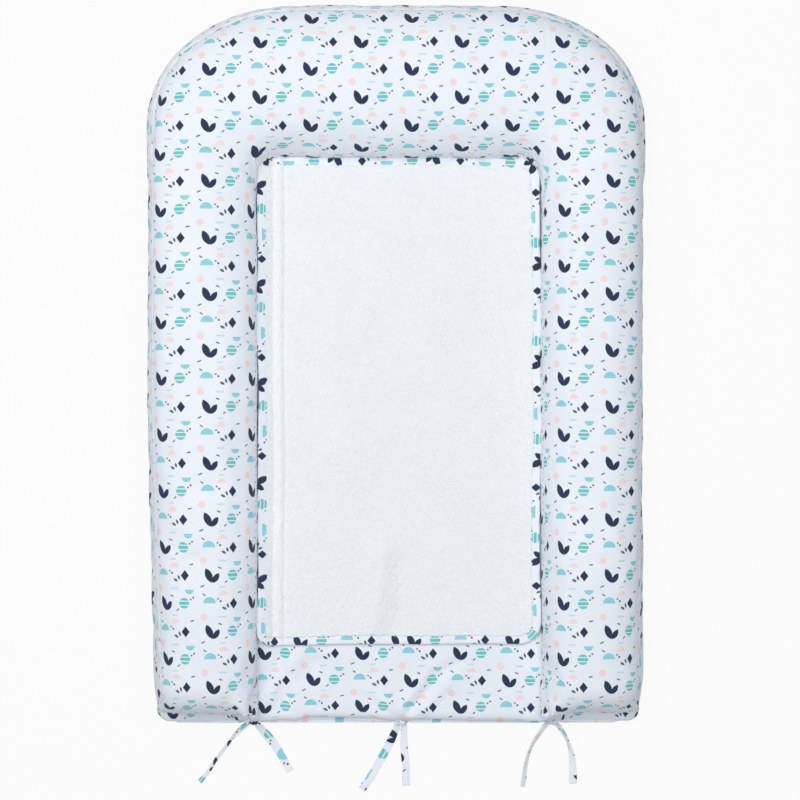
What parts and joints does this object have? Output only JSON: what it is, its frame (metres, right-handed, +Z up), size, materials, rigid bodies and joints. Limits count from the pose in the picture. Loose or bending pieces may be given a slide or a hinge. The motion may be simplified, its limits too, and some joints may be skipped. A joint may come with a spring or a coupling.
{
  "type": "changing pad",
  "caption": "Padded baby changing pad with three raised bolsters, a printed cotton cover tied at the foot with ribbons, and a removable terry towel in the well.",
  "frame": {"origin": "on the surface that the pad lies on, under the middle of the covered pad, ties left out", "axes": "+Z up, +Y towards the head end, +X to the right as seen from above with the head end up"},
  "size_m": [0.5, 0.8065, 0.088],
  "materials": {
    "printed_cotton": "plain-woven cotton, near-white with a small navy, aqua and pink geometric print",
    "white_terry": "white cotton terry with a short looped pile",
    "hook_and_loop": "white hook-and-loop tape",
    "white_vinyl": "soft matt white vinyl sheet",
    "white_wadding": "white polyester wadding"
  },
  "bodies": {
    "mat": {"cover_top_panel": "printed_cotton", "cover_side_band": "printed_cotton", "cover_back_panel": "printed_cotton", "cover_upper_hem": "printed_cotton", "cover_lower_hem": "printed_cotton", "cover_loop_tabs": "hook_and_loop", "mat_top_skin": "white_vinyl", "mat_bottom_skin": "white_vinyl", "mat_base_pad": "white_wadding", "mat_left_bolster": "white_wadding", "mat_right_bolster": "white_wadding", "mat_head_bolster": "white_wadding", "knot_left": "printed_cotton", "knot_middle": "printed_cotton", "knot_right": "printed_cotton", "tie_left_upper": "printed_cotton", "tie_left_lower": "printed_cotton", "tie_middle_upper": "printed_cotton", "tie_middle_lower": "printed_cotton", "tie_right_upper": "printed_cotton", "tie_right_lower": "printed_cotton"},
    "towel": {"towel_terry": "white_terry", "towel_binding": "printed_cotton", "towel_hook_tabs": "hook_and_loop"}
  },
  "joints": [
    {"name": "towel_lift", "type": "slide", "parent": "mat", "child": "towel", "axis": [0, 0, 1], "range_m": [0, 0.3]}
  ]
}
